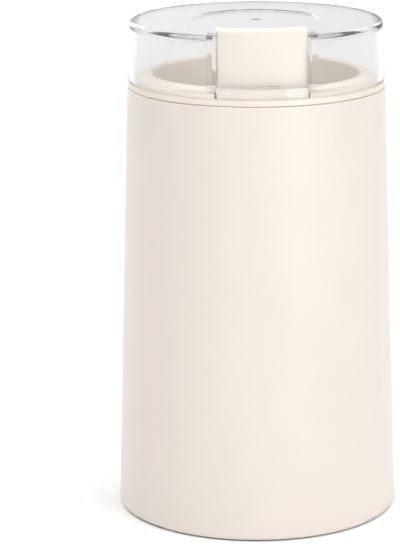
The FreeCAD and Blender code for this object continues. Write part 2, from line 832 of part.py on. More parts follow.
def make_bracket(plate_z, foot_z, bearing_z, cup_z):
    """Cast motor bracket: waisted plate, four legs that stand on the stator, and a bearing cup."""
    low, high = plate_z
    bracket = plate(rectangle(*bracket_outline), low, high)
    for side in (-1, 1):
        notch = plate(rectangle(*bracket_waist, y=side * bracket_waist_y), low - 1, high + 1)
        bracket = bracket.cut(notch)
    for x, y in leg_places:
        bracket = bracket.fuse(rod(leg_radius, min(low, foot_z), max(high, foot_z), x, y))
    bracket = bracket.fuse(rod(bearing_radius + cup_wall, *cup_z)).cut(rod(bearing_radius, *bearing_z))
    return bracket.cut(rod(shaft_radius + 0.6, cup_z[0] - 1, cup_z[1] + 1))


def make_upper_bracket():
    """Bracket over the fan. It holds the top bearing and hangs from the bowl carrier."""
    bracket = make_bracket(upper_plate_z, stack_top_z, upper_bearing_z,
                           (upper_bearing_z[0] - cup_floor, upper_bearing_z[1]))
    for x, y in leg_places:
        bracket = bracket.cut(rod(leg_thread_radius, stack_top_z - 1, stack_top_z + leg_thread_depth, x, y))
    for x, y in hanger_places:
        bracket = bracket.cut(rod(damper_bore, upper_plate_z[0] - 1, upper_plate_z[1] + 1, x, y))
    return bracket.removeSplitter()


def make_lower_bracket():
    """Bracket under the stator. It holds the lower bearing and carries the brush boxes on two blocks."""
    low, high = lower_plate_z
    bracket = make_bracket(lower_plate_z, stack_bottom_z, lower_bearing_z,
                           (lower_bearing_z[0], high + cup_floor))
    for x, y in leg_places:
        bracket = bracket.cut(rod(tie_hole_radius, low - 1, stack_bottom_z + 1, x, y))
    for side in (-1, 1):
        y0, y1 = sorted((side * 9.0, side * brush_block_reach[1]))
        block_y0, block_y1 = sorted(side * reach for reach in brush_block_reach)
        half = brush_block_half_width
        bracket = bracket.fuse(block(-half - 0.4, half + 0.4, y0, y1, low, high))
        bracket = bracket.fuse(block(-half, half, block_y0, block_y1, high - 0.5, brush_z[0] - box_wall))
    return bracket.removeSplitter()


def make_brush_boxes():
    """Two folded brass boxes that guide the brushes, closed at the outer end."""
    inner, outer = brush_box
    half = brush_half_width
    low, high = brush_z
    boxes = []
    for side in (-1, 1):
        y0, y1 = sorted((side * inner, side * outer))
        cavity0, cavity1 = sorted((side * (inner - 1), side * (outer - box_wall)))
        outside = block(-half - box_wall, half + box_wall, y0, y1, low - box_wall, high + box_wall)
        inside = block(-half - brush_fit, half + brush_fit, cavity0, cavity1,
                       low - brush_fit, high + brush_fit)
        boxes.append(outside.cut(inside))
    return Part.Compound(boxes)


def make_brushes():
    """Two carbon brushes with hollowed ends that ride on the commutator."""
    brushes = []
    for side in (-1, 1):
        y0, y1 = sorted((side * 6.5, side * brush_outer))
        brush = block(-brush_half_width, brush_half_width, y0, y1, *brush_z)
        brushes.append(brush.cut(rod(commutator_radius + 0.1, 20, 36)))
    return Part.Compound(brushes)


def make_brush_springs():
    """Two coil springs that push the brushes inwards from the ends of their boxes."""
    length = brush_box[1] - box_wall - brush_outer
    springs = []
    for side in (-1, 1):
        spring = coil(brush_spring_radius, brush_spring_wire, length, brush_spring_turns)
        spring.rotate(Vector(0, 0, 0), Vector(1, 0, 0), -90 * side)
        spring.translate(Vector(0, side * brush_outer, sum(brush_z) / 2))
        springs.append(spring)
    return Part.Compound(springs)


def make_microswitch():
    """Snap-action switch with two fixing holes, a plunger bore and two blade terminals."""
    low, high = switch_z
    switch = block(-switch_half_width, switch_half_width, switch_front_y, switch_back_y, low, high)
    depth = switch_back_y - switch_front_y
    for x in (-switch_hole_x, switch_hole_x):
        start = Vector(x, switch_front_y, low + switch_hole_rise)
        switch = switch.cut(Part.makeCylinder(switch_hole_radius, depth, start, Vector(0, 1, 0)))
    switch = switch.cut(rod(plunger_radius + 0.05, high - plunger_bore_depth, high + 1, 0, plunger_y))
    for x in (-terminal_x, terminal_x):
        x0, x1 = x - terminal_half_width, x + terminal_half_width
        switch = switch.fuse(block(x0, x1, *terminal_y, low - terminal_length, low))
    return switch


def make_damper(x, y):
    """Rubber ring between the motor bracket and a hanger post."""
    return tube(damper_bore, damper_radius, upper_plate_z[1], upper_plate_z[1] + damper_thickness, x, y)


def cradle_block(half_x, half_y, top_z):
    """Block on the base cover round the middle of the suppressor."""
    return block(-half_x, half_x, suppressor_y - half_y, suppressor_y + half_y, cover_z[1], top_z)


def make_base_cover():
    """Base plate with an upstand, air slots, foot recesses, screw recesses and cord saddle."""
    low, high = cover_z
    cover = turned([
        (0, low), (cover_radius, low, 0.4), (cover_radius, high), (0, high),
    ])
    for angle in foot_angles:
        x, y = polar(foot_ring_radius, angle)
        cover = cover.cut(rod(foot_radius + 0.1, low - 1, low + foot_recess, x, y))
    for angle in cover_screw_angles:
        x, y = polar(cover_screw_radius, angle)
        cover = cover.cut(rod(1.6, low - 1, high + 1, x, y))
        cover = cover.cut(rod(3.0, low - 1, low + cover_screw_recess, x, y))
    slot = plate(rectangle(*vent_slot, x=vent_ring_radius), low - 1, high + 1)
    for cutter in turned_copies(slot, [360 / vent_slots * i for i in range(vent_slots)]):
        cover = cover.cut(cutter)
    saddle = block(-saddle_half_width, saddle_half_width, *saddle_y, high, saddle_top_z)
    for x in (-clamp_screw_x, clamp_screw_x):
        saddle = saddle.cut(rod(1.0, 6, 20, x, sum(saddle_y) / 2))
    half_x, half_y = [half + cradle_gap for half in suppressor_half]
    cradle = cradle_block(half_x + cradle_wall, half_y + cradle_wall, high + cradle_height)
    cradle = cradle.cut(cradle_block(half_x, half_y, high + cradle_height + 1))
    return cover.fuse(saddle).fuse(cradle).removeSplitter()


def make_feet():
    """Four round rubber feet with chamfered edges."""
    feet = []
    for angle in foot_angles:
        x, y = polar(foot_ring_radius, angle)
        foot = turned([
            (0, 0),
            (foot_radius - foot_chamfer, 0),
            (foot_radius, foot_chamfer),
            (foot_radius, cover_z[0] + foot_recess),
            (0, cover_z[0] + foot_recess),
        ])
        foot.translate(Vector(x, y, 0))
        feet.append(foot)
    return Part.Compound(feet)


def make_cord_inlet():
    """Moulded bush in the body wall with a flat slot for a two-core cord."""
    face_y = body_radius(inlet_z) - inlet_fit
    flange_size = [size - inlet_fit for size in inlet_recess]
    neck_size = [size - inlet_fit for size in inlet_hole]
    flange = inlet_prism(*flange_size, face_y - inlet_recess_depth + 0.1, 50)
    neck = inlet_prism(*neck_size, 39.0, face_y - 1.0)
    envelope = turned([(0, 5), (body_radius(5), 5), (body_radius(25), 25), (0, 25)])
    bush = flange.fuse(neck).common(envelope)
    slot = inlet_prism(inlet_slot[0] / 2, inlet_slot[1] / 2, inlet_slot[1] / 2 - 0.05, 30, 50)
    return bush.cut(slot).removeSplitter()


def make_cord_clamp():
    """Bar that screws down on the saddle over the cord."""
    low, high = saddle_top_z, saddle_top_z + clamp_height
    half_width, height = clamp_tunnel
    bar = block(-saddle_half_width, saddle_half_width, *saddle_y, low, high)
    bar = bar.cut(block(-half_width, half_width, 30, 40, low - 1, low + height))
    for x in (-clamp_screw_x, clamp_screw_x):
        bar = bar.cut(rod(screw_clearance_radius, low - 1, high + 1, x, sum(saddle_y) / 2))
    return bar


def make_capacitor():
    """Radio suppression capacitor in the cover's cradle, with two stub leads."""
    body = cradle_block(*suppressor_half, suppressor_top_z)
    edges = [e for e in body.Edges if e.BoundBox.ZLength > 5]
    body = body.makeFillet(1.0, edges)
    for x in (-suppressor_lead_x, suppressor_lead_x):
        body = body.fuse(rod(0.5, suppressor_top_z, suppressor_top_z + 3, x, suppressor_y))
    return body


def screws(places, head_z, tip_z, shank, head, head_height):
    """Several equal screws as separate solids."""
    return Part.Compound([screw(x, y, head_z, tip_z, shank, head, head_height) for x, y in places])


carrier_places = [polar(carrier_screw_radius, angle) for angle in carrier_screw_angles]
cover_places = [polar(cover_screw_radius, angle) for angle in cover_screw_angles]
clamp_places = [(x, sum(saddle_y) / 2) for x in (-clamp_screw_x, clamp_screw_x)]
parts = {
    "body_shell": make_body_shell(),
    "collar": make_collar(),
    "lid": make_lid(),
    "press_button": make_button(),
    "button_springs": make_button_springs(),
    "bowl_gasket": make_gasket(),
    "grinding_bowl": make_bowl(),
    "bowl_carrier": make_bowl_carrier(),
    "carrier_screws": screws(carrier_places, bowl_flange_z - bowl_sheet - carrier_flange,
                             boss_pilot_top_z - 1, 1.1, 2.2, 1.6),
    "shaft_seal": make_shaft_seal(),
    "blade": make_blade(),
    "blade_hub": make_blade_hub(),
    "blade_nut": make_blade_nut(),
    "motor_shaft": make_shaft(),
    "armature_core": make_armature_core(),
    "armature_windings": make_armature_windings(),
    "commutator": make_commutator(),
    "cooling_fan": make_fan(),
    "stator_core": make_stator_core(),
    "field_coils": make_field_coils(),
    "upper_bearing": make_bearings(upper_bearing_z),
    "lower_bearing": make_bearings(lower_bearing_z),
    "upper_bracket": make_upper_bracket(),
    "lower_bracket": make_lower_bracket(),
    "tie_screws": screws(leg_places, lower_plate_z[0], 77, 1.45, 2.8, 1.8),
    "motor_dampers": Part.Compound([make_damper(x, y) for x, y in hanger_places]),
    "hanger_screws": screws(hanger_places, upper_plate_z[0], 92, 1.25, 2.5, 1.6),
    "brush_boxes": make_brush_boxes(),
    "carbon_brushes": make_brushes(),
    "brush_springs": make_brush_springs(),
    "microswitch": make_microswitch(),
    "switch_plunger": rod(plunger_radius, switch_z[1] - 1.2, stem_foot_z, 0, plunger_y),
    "base_cover": make_base_cover(),
    "cover_screws": screws(cover_places, cover_z[0] + cover_screw_recess, 16, 1.2, 2.6, 1.1),
    "rubber_feet": make_feet(),
    "cord_inlet": make_cord_inlet(),
    "cord_clamp": make_cord_clamp(),
    "clamp_screws": screws(clamp_places, saddle_top_z + clamp_height, 7, 0.95, 1.9, 1.3),
    "suppressor": make_capacitor(),
}

for name, shape in parts.items():
    shape.exportStep("parts/%s.step" % name)
    facts = (name, len(shape.Solids), shape.isValid(), shape.Volume)
    print("%-18s solids %d  valid %s  volume %.1f mm3" % facts)
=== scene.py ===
# %% [markdown]
# # An electric spice grinder, dressed in Blender
# The grinder's solids come ready made from CAD: a tapered moulded body, a clear lid with a window at the
# front, a press button, and under them a steel bowl, a blade and a small motor. This lesson gives them
# light, a camera and finishes, and builds in mesh code the pieces that need finer forms than the solids.
# The frame is in metres, Z is up, and the button is at the front, towards -Y.

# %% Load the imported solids
import bpy
import bmesh
import json
import math
from mathutils import Vector, Matrix


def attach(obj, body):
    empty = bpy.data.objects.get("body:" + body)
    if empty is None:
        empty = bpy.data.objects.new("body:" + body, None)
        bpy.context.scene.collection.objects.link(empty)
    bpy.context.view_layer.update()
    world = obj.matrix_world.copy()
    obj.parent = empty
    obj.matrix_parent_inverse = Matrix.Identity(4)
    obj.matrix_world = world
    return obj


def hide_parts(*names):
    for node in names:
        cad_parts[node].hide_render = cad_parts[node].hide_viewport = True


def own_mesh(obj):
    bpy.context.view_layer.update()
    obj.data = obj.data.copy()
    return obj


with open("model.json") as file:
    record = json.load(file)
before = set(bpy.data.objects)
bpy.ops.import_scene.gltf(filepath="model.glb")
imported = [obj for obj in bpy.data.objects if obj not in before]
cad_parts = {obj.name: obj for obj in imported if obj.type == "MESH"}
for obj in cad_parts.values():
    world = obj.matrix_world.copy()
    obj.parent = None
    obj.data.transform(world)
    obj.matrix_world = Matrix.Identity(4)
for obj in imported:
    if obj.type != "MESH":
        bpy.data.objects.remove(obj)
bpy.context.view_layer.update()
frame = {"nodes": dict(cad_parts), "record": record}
for plain_material in list(bpy.data.materials):
    bpy.data.materials.remove(plain_material)

# %% [markdown]
# ## The camera
# The photograph was taken with a long lens from a little above the lid. One could guess such a camera by
# eye, but the three ellipses at the foot, at the shoulder and at the lid fix it: their widths and heights
# give the distance, the height and the tilt. The numbers below are the result of that fit.

# %% Make the camera
camera_place = Vector((-0.04558, -0.84029, 0.28495))
camera_heading = math.radians(1.834)
camera_tilt = math.radians(13.972)
camera_roll = math.radians(-0.415)

camera_data = bpy.data.cameras.new("camera")
camera_data.lens = 169.23
camera_data.sensor_width = 36
camera_data.clip_start = 0.05
camera_data.clip_end = 20
camera = bpy.data.objects.new("camera", camera_data)
bpy.context.scene.collection.objects.link(camera)
turn = Matrix.Rotation(-camera_heading, 4, "Z")
tilt = Matrix.Rotation(math.pi / 2 - camera_tilt, 4, "X")
roll = Matrix.Rotation(camera_roll, 4, "Z")
camera.matrix_world = Matrix.Translation(camera_place) @ turn @ tilt @ roll
bpy.context.scene.camera = camera
print("camera at", [round(v, 3) for v in camera.location])

# %% [markdown]
# ## The floor
# The photograph has a white floor that runs on out of sight. A backdrop that curves up could hide its far
# edge, but the camera looks down on the object, so a wide round sheet is all that it sees behind it. The
# sheet is built as rings of faces, which lie closer together near the object.

# %% Lay the floor
def make_floor(radius, rings=8, corners=48):
    """Round sheet of paper, flat on z = 0, built as rings of faces round the object."""
    mesh = bmesh.new()
    centre = mesh.verts.new((0, 0, 0))
    previous = None
    for ring in range(1, rings + 1):
        reach = radius * (ring / rings) ** 2
        circle = []
        for corner in range(corners):
            angle = 2 * math.pi * corner / corners
            circle.append(mesh.verts.new((reach * math.cos(angle), reach * math.sin(angle), 0)))
        for i, vertex in enumerate(circle):
            following = circle[(i + 1) % corners]
            if previous is None:
                mesh.faces.new((centre, vertex, following))
            else:
                mesh.faces.new((previous[i], vertex, following, previous[(i + 1) % corners]))
        previous = circle
    data = bpy.data.meshes.new("studio_floor")
    mesh.to_mesh(data)
    mesh.free()
    floor = bpy.data.objects.new("studio_floor", data)
    bpy.context.scene.collection.objects.link(floor)
    return floor


studio_floor = make_floor(8.0)
print("floor faces:", len(studio_floor.data.polygons))

# %% [markdown]
# Paper is never quite even, and a floor in one flat white looks like a painted shape. A picture of paper
# could be laid on it, but soft noise between two near whites does the same at any size. The noise takes
# its place from the part itself, in metres, so that it stays where it is when the camera moves.

# %% Give the paper its finish
noise_low = 0.3
noise_high = 0.7


def new_material(name):
    """Material, its node tree and its shader."""
    material = bpy.data.materials.new(name)
    material.use_nodes = True
    tree = material.node_tree
    return material, tree, tree.nodes["Principled BSDF"]


def add(tree, kind, **settings):
    """New node with its settings given by name."""
    node = tree.nodes.new(kind)
    for key, value in settings.items():
        setattr(node, key, value)
    return node


def place_on_part(tree, scale=(1, 1, 1)):
    """Coordinates in metres on the part, stretched by scale."""
    where = add(tree, "ShaderNodeTexCoord")
    stretch = add(tree, "ShaderNodeMapping")
    stretch.inputs["Scale"].default_value = scale
    tree.links.new(where.outputs["Object"], stretch.inputs["Vector"])
    return stretch.outputs["Vector"]


def mottled(tree, place, scale, detail=3.0):
    """Soft noise, with scale features to the metre. Most of it lies between noise_low and noise_high."""
    noise = add(tree, "ShaderNodeTexNoise")
    noise.inputs["Scale"].default_value = scale
    noise.inputs["Detail"].default_value = detail
    tree.links.new(place, noise.inputs["Vector"])
    return noise.outputs["Fac"]


def shade(tree, share, dark, light):
    """Colour that follows a noise, from dark to light."""
    ramp = add(tree, "ShaderNodeValToRGB")
    ramp.color_ramp.elements[0].position = noise_low
    ramp.color_ramp.elements[1].position = noise_high
    ramp.color_ramp.elements[0].color = (*dark, 1)
    ramp.color_ramp.elements[1].color = (*light, 1)
    tree.links.new(share, ramp.inputs["Fac"])
    return ramp.outputs["Color"]


def paint(tree, shader, colour):
    """Lead a colour to the shader."""
    tree.links.new(colour, shader.inputs["Base Color"])


def paper_finish():
    """Matt white paper with a faint cloudiness."""
    material, tree, shader = new_material("studio_paper")
    cloud = mottled(tree, place_on_part(tree), scale=2.0)
    paint(tree, shader, shade(tree, cloud, (0.90, 0.90, 0.90), (0.92, 0.92, 0.92)))
    shader.inputs["Roughness"].default_value = 0.9
    shader.inputs["Specular IOR Level"].default_value = 0.1
    return material


studio_floor.data.materials.append(paper_finish())
print("paper finish on", studio_floor.name)

# %% [markdown]
# ## The lamps
# Light comes from large soft sources, because a satin body shows each one as a broad upright band. One
# bright sky all round would be simpler, but it would leave the body flat. The sources above and in front
# carry the tones, a weak one fills in from the right, the key light at the right front starts the bright
# band right of the middle, and the two at the back reach round the edges of the body.

# %% Hang the studio lamps
middle = Vector((0, 0, 0.085))
camera_side = math.radians(3.1)


def soft_light(name, place, target, size, power):
    """Rectangular soft light that faces target. Size is (width, height) in metres, power in watts."""
    data = bpy.data.lights.new(name, "AREA")
    data.shape = "RECTANGLE"
    data.size, data.size_y = size
    data.energy = power
    light = bpy.data.objects.new(name, data)
    bpy.context.scene.collection.objects.link(light)
    light.location = place
    aim = Vector(target) - Vector(place)
    light.rotation_euler = aim.to_track_quat("-Z", "Y").to_euler()
    return light


def place_round(heading, height, distance):
    """Point round the object. Heading is in degrees to the right of the camera, height in degrees up."""
    around = math.radians(heading) - camera_side
    rise = math.radians(height)
    return middle + distance * Vector((math.sin(around) * math.cos(rise), -math.cos(around) * math.cos(rise),
                                       math.sin(rise)))


# Each row is a name, heading, height, distance in metres, size in metres and power in watts.
studio_lamps = (
    ("top", 0, 88, 3.0, (3.2, 3.2), 58.9),
    ("key", 50, 40, 3.4, (1.6, 2.2), 28.5),
    ("front", -20, 45, 3.4, (2.0, 2.0), 39.4),
    ("side_right", 100, 30, 3.4, (2.0, 2.0), 4.1),
    ("back_left", -150, 14, 3.4, (1.7, 1.7), 21.7),
    ("back_right", 150, 30, 3.4, (2.0, 2.0), 16.1),
)
for name, heading, height, distance, size, power in studio_lamps:
    soft_light(name, place_round(heading, height, distance), middle, size, power)
print("studio lamps:", len(studio_lamps))

# %% [markdown]
# The paper has to stay white as far as any view of the object reaches, and the studio lamps only light the
# middle of it. Stronger lamps would make the body too light. So one lamp hangs over the far floor on each
# side, and a narrow spread keeps most of its light on the paper.

# %% Light the far floor
far_distance = 3.4
far_height = 2.6
lit_distance = 2.7
far_size = (3.4, 1.6)
far_power = 20
far_spread = math.radians(75)
for side in (0, 90, 180, 270):
    outward = Vector((math.sin(math.radians(side)), math.cos(math.radians(side)), 0))
    far_place = far_distance * outward + Vector((0, 0, far_height))
    far_floor = soft_light("far_floor_%d" % side, far_place, lit_distance * outward, far_size, far_power)
    far_floor.data.spread = far_spread
print("far floor lit from", far_height, "m up")

# %% [markdown]
# The bright band on the body is narrower and clearer than the key light alone makes it. A smaller key light
# would cast a harder shadow, so two strips stand close to the object instead. The second one only shows as
# a reflection and lights nothing.

# %% Stand two strips close by
strip_height = 12
strip_distance = 0.42
near_place = place_round(36, strip_height, strip_distance)
gloss_place = place_round(34, strip_height, strip_distance)
soft_light("near_strip", near_place, middle, size=(0.16, 0.3), power=0.145)
gloss_strip = soft_light("gloss_strip", gloss_place, middle, size=(0.12, 0.3), power=0.17)
gloss_strip.visible_diffuse = False
print("strips stand", strip_distance, "m away")

# %% [markdown]
# Seen through the lid's roundings, a lamp would be a hard white line in each edge, which the photograph
# doesn't have. The lamps could be hidden one by one, but here no ray that has passed through clear plastic
# finds any of them. What stands under the lid is then lit by the room alone, and the room makes up for it.

# %% Keep the lamps out of the clear edges
lamps = [thing for thing in bpy.context.scene.objects if thing.type == "LIGHT"]
for lamp in lamps:
    lamp.visible_transmission = False
print("lamps:", [lamp.name for lamp in lamps])

# %% [markdown]
# ## The room
# Everything that shines or is clear shows the room, so the room needs a form too. A small product like this
# is photographed in a white tent: its walls are bright to look at, yet most of the light on the object comes
# from the lamps. The tent could be built from sheets, but a world that asks what kind of ray has come to it
# gives each surface its own room. A ray that lights a matt surface finds a dim room with a white wall behind.

# %% What a matt surface finds
dim_room = 0.1
white_wall = 0.6


def math_step(tree, operation, *values):
    """Maths node on numbers or sockets, returned as its output socket."""
    node = add(tree, "ShaderNodeMath", operation=operation)
    for i, value in enumerate(values):
        if isinstance(value, (int, float)):
            node.inputs[i].default_value = value
        else:
            tree.links.new(value, node.inputs[i])
    return node.outputs["Value"]


def set_span(span, from_low, from_high, to_low, to_high):
    """Set the four limits of a map range node."""
    span.inputs["From Min"].default_value = from_low
    span.inputs["From Max"].default_value = from_high
    span.inputs["To Min"].default_value = to_low
    span.inputs["To Max"].default_value = to_high


def smooth_step(tree, value, start, end, low, high):
    """Number that passes smoothly from low to high while value goes from start to end."""
    span = add(tree, "ShaderNodeMapRange", interpolation_type="SMOOTHSTEP")
    set_span(span, start, end, low, high)
    tree.links.new(value, span.inputs["Value"])
    return span.outputs["Result"]


def matt_glow(tree, direction):
    """Dim all round, with a white wall behind that ends above. A direction's parts run from -1 to 1."""
    behind = smooth_step(tree, direction.outputs["Y"], start=-0.1, end=0.6, low=0.0, high=1.0)
    low_down = smooth_step(tree, direction.outputs["Z"], start=0.55, end=0.85, low=white_wall - dim_room,
                           high=0.0)
    return math_step(tree, "MULTIPLY_ADD", behind, low_down, dim_room)


print("a matt surface finds", dim_room, "all round and", white_wall, "behind")

# %% [markdown]
# A mirrored ray finds the tent's white, brighter on the left than on the right, and weaker at both sides. A
# tent of one brightness would gleam alike all round. These values were set against the photograph's tones.

# %% What a mirror finds
tent_left = 1.25
tent_right = 0.62
tent_sides = 0.5


def mirrored_glow(tree, direction):
    """The tent's white, from left to right, less at both sides."""
    across = smooth_step(tree, direction.outputs["X"], start=-0.5, end=0.5, low=tent_left, high=tent_right)
    sideways = math_step(tree, "ABSOLUTE", direction.outputs["X"])
    fade = smooth_step(tree, sideways, start=0.3, end=0.7, low=1.0, high=tent_sides)
    return math_step(tree, "MULTIPLY", across, fade)


print("a mirror finds", tent_left, "on the left and", tent_right, "on the right")

# %% [markdown]
# A ray that comes out of the lid finds a plain white, so that the lid looks clear. The exception is a ray
# that was scattered by the collar or the bowl under the lid: it finds a brighter room, most of all in front,
# because no lamp reaches in there.

# %% What a ray through the lid finds
seen_through = 0.99
lit_inside = 1.58
front_lift = 2.8


def swap_for(tree, usual, other, choice):
    """The usual number, or the other where choice is 1."""
    kept = math_step(tree, "MULTIPLY", usual, math_step(tree, "SUBTRACT", 1.0, choice))
    return math_step(tree, "ADD", kept, math_step(tree, "MULTIPLY", other, choice))


def clear_glow(tree, direction, ray):
    """White for a ray straight through the lid, and brighter for one that lights what is under it."""
    scattered = math_step(tree, "GREATER_THAN", ray.outputs["Diffuse Depth"], 0.5)
    brighter = smooth_step(tree, direction.outputs["Y"], start=0.0, end=-0.8, low=lit_inside,
                           high=lit_inside * front_lift)
    return swap_for(tree, seen_through, brighter, scattered)


print("a ray through the lid finds", seen_through, "and what is under it", lit_inside)

# %% [markdown]
# The three rooms come together in one world. The picture is shown without a film look, because the
# photograph's white is a plain white.

# %% Paint the room
def make_room():
    """World that shows each kind of ray its own room."""
    world = bpy.data.worlds.new("room")
    bpy.context.scene.world = world
    world.use_nodes = True
    tree = world.node_tree
    backing = tree.nodes["Background"]
    backing.inputs["Color"].default_value = (1, 1, 1, 1)
    where = add(tree, "ShaderNodeTexCoord")
    direction = add(tree, "ShaderNodeSeparateXYZ")
    tree.links.new(where.outputs["Generated"], direction.inputs["Vector"])
    ray = add(tree, "ShaderNodeLightPath")
    glow = matt_glow(tree, direction)
    glow = swap_for(tree, glow, mirrored_glow(tree, direction), ray.outputs["Is Glossy Ray"])
    glow = swap_for(tree, glow, clear_glow(tree, direction, ray), ray.outputs["Is Transmission Ray"])
    tree.links.new(glow, backing.inputs["Strength"])
    return world


room = make_room()
bpy.context.scene.view_settings.view_transform = "Standard"
print("room painted with", len(room.node_tree.nodes), "nodes")

# %% [markdown]
# A ray that enters the edge of a clear moulding is mirrored many times inside the wall before it leaves. If
# it is dropped too soon the edges turn black, so the renderer may follow such a ray for longer.

# %% Let rays run on inside clear plastic
ray_limit = 32
bpy.context.scene.cycles.max_bounces = ray_limit
bpy.context.scene.cycles.transmission_bounces = ray_limit
bpy.context.scene.cycles.glossy_bounces = ray_limit
print("rays may turn", ray_limit, "times")

# %% [markdown]
# ## Moulded plastics
# The casing, the collar and the button are cream plastic with a satin skin, and the mouldings inside are
# dark. A flat colour would do from afar, but real pigment is never quite even, and the mould leaves a fine
# grain that takes the sharpness out of reflections. One recipe gives all of them that skin, from a colour
# and a roughness.

# %% Plastic finishes
def between(tree, share, low, high):
    """Number that follows a noise, from low to high."""
    span = add(tree, "ShaderNodeMapRange")
    set_span(span, noise_low, noise_high, low, high)
    tree.links.new(share, span.inputs["Value"])
    return span.outputs["Result"]


def roughen(tree, shader, roughness):
    """Lead a roughness to the shader."""
    tree.links.new(roughness, shader.inputs["Roughness"])


def grain(tree, shader, height, depth):
    """Fine relief of the given depth in metres on the shader's surface."""
    bump = add(tree, "ShaderNodeBump")
    bump.inputs["Strength"].default_value = 1.0
    bump.inputs["Distance"].default_value = depth
    tree.links.new(height, bump.inputs["Height"])
    tree.links.new(bump.outputs["Normal"], shader.inputs["Normal"])


def tinted(colour, factor):
    """The colour made darker or lighter by a factor."""
    return tuple(min(1.0, c * factor) for c in colour)


def moulded_finish(name, colour, roughness):
    """Pigmented plastic: uneven pigment, a fine skin and a roughness that varies over the piece."""
    material, tree, shader = new_material(name)
    place = place_on_part(tree)
    pigment = mottled(tree, place, scale=35, detail=4)
    sheen = mottled(tree, place, scale=60, detail=3)
    skin = mottled(tree, place, scale=2600, detail=2)
    paint(tree, shader, shade(tree, pigment, tinted(colour, 0.985), tinted(colour, 1.015)))
    roughen(tree, shader, between(tree, sheen, roughness - 0.03, roughness + 0.03))
    grain(tree, shader, skin, depth=0.000012)
    return material


plastics = [
    moulded_finish("cream_casing", (0.82, 0.748, 0.686), 0.36),
    # The collar's cream is lighter than the casing's. This is painted light that lifts the shade inside the
    # cavity under the lid.
    moulded_finish("cream_collar", (0.87, 0.785, 0.70), 0.42),
    moulded_finish("cream_button", (0.84, 0.77, 0.70), 0.34),
    moulded_finish("inner_plastic", (0.045, 0.043, 0.040), 0.55),
    moulded_finish("hub_plastic", (0.014, 0.014, 0.016), 0.45),
    moulded_finish("switch_plastic", (0.010, 0.010, 0.012), 0.5),
    moulded_finish("plunger_plastic", (0.45, 0.02, 0.012), 0.3),
    moulded_finish("capacitor_plastic", (0.52, 0.34, 0.027), 0.3),
]
print("plastics:", [finish.name for finish in plastics])

# %% [markdown]
# ## Clear plastic
# The lid is clear plastic with a polished skin and a slight grey tint. Mixing glass with
# plain transparency renders faster, but then the edges don't bend what is behind them, so the shader's own
# transmission is used. A faint haze and a slow waviness stand for what moulding leaves.

# %% Clear finish of the lid
def clear_finish(name):
    """Clear plastic with a faint haze and a slow, shallow waviness."""
    material, tree, shader = new_material(name)
    shader.inputs["Base Color"].default_value = (0.86, 0.86, 0.86, 1)
    shader.inputs["Transmission Weight"].default_value = 1.0
    shader.inputs["IOR"].default_value = 1.49
    shader.inputs["Roughness"].default_value = 0.045
    wave = mottled(tree, place_on_part(tree), scale=60, detail=1)
    grain(tree, shader, wave, depth=0.00001)
    return material


clear_plastic = clear_finish("clear_plastic")
print("clear finish:", clear_plastic.name)

# %% [markdown]
# ## Rubber
# The seals, the feet and the cord's inlet are matt rubber. Low gloss alone would look like dark paint. A
# stronger variation than the plastics have, and a deeper grain, give it the dusty look of moulded rubber.

# %% Rubber finishes
def rubber_finish(name, colour, roughness=0.75):
    """Matt rubber with a fine dusty grain."""
    material, tree, shader = new_material(name)
    place = place_on_part(tree)
    dust = mottled(tree, place, scale=90, detail=5)
    rubbed = mottled(tree, place, scale=150, detail=4)
    skin = mottled(tree, place, scale=1800, detail=3)
    paint(tree, shader, shade(tree, dust, tinted(colour, 0.85), tinted(colour, 1.15)))
    roughen(tree, shader, between(tree, rubbed, roughness - 0.08, roughness + 0.08))
    grain(tree, shader, skin, depth=0.00003)
    shader.inputs["Specular IOR Level"].default_value = 0.3
    return material


rubbers = [
    rubber_finish("seal_rubber", (0.012, 0.012, 0.012)),
    rubber_finish("foot_rubber", (0.035, 0.033, 0.030)),
    rubber_finish("inlet_rubber", (0.66, 0.57, 0.48), 0.6),
]
print("rubbers:", [finish.name for finish in rubbers])

# %% [markdown]
# ## Metals
# Bare metal is known by the marks of its making. The screws, springs, brackets and brush boxes have fine
# marks without a direction, and the blade was ground, so its marks run along the arms. Scratches could be
# drawn one by one, but noise that is stretched along one axis gives the same look from one number.

# %% Plain and ground metals
def metal_finish(name, colour, roughness, stretch=(1, 1, 1), scale=400, depth=0.000004, streak=0.08):
    """Metal with fine marks. Stretch above 1 on an axis packs the marks closer together along it."""
    material, tree, shader = new_material(name)
    marks = mottled(tree, place_on_part(tree, stretch), scale, detail=6)
    paint(tree, shader, shade(tree, marks, tinted(colour, 0.88), tinted(colour, 1.06)))
    roughen(tree, shader, between(tree, marks, roughness - streak, roughness + streak))
    grain(tree, shader, marks, depth)
    shader.inputs["Metallic"].default_value = 1.0
    return material


metals = [
    metal_finish("blade_steel", (0.60, 0.60, 0.59), 0.24, stretch=(1, 9, 1), scale=700, depth=0.0000015,
                 streak=0.05),
    metal_finish("spring_steel", (0.55, 0.56, 0.58), 0.28),
    metal_finish("zinc_screws", (0.66, 0.67, 0.68), 0.3),
    metal_finish("bearing_bronze", (0.45, 0.27, 0.10), 0.45),
    metal_finish("cast_bracket", (0.50, 0.51, 0.52), 0.5, depth=0.00002),
    metal_finish("box_brass", (0.72, 0.50, 0.18), 0.3),
]
print("plain and ground metals:", [finish.name for finish in metals])

# %% [markdown]
# The motor's cores are stacks of thin sheets, and its coils are wires side by side. Hundreds of sheets and
# turns would cost far more faces than they are worth inside a closed body. A wave texture draws them at
# their real pitch, as colour and relief.

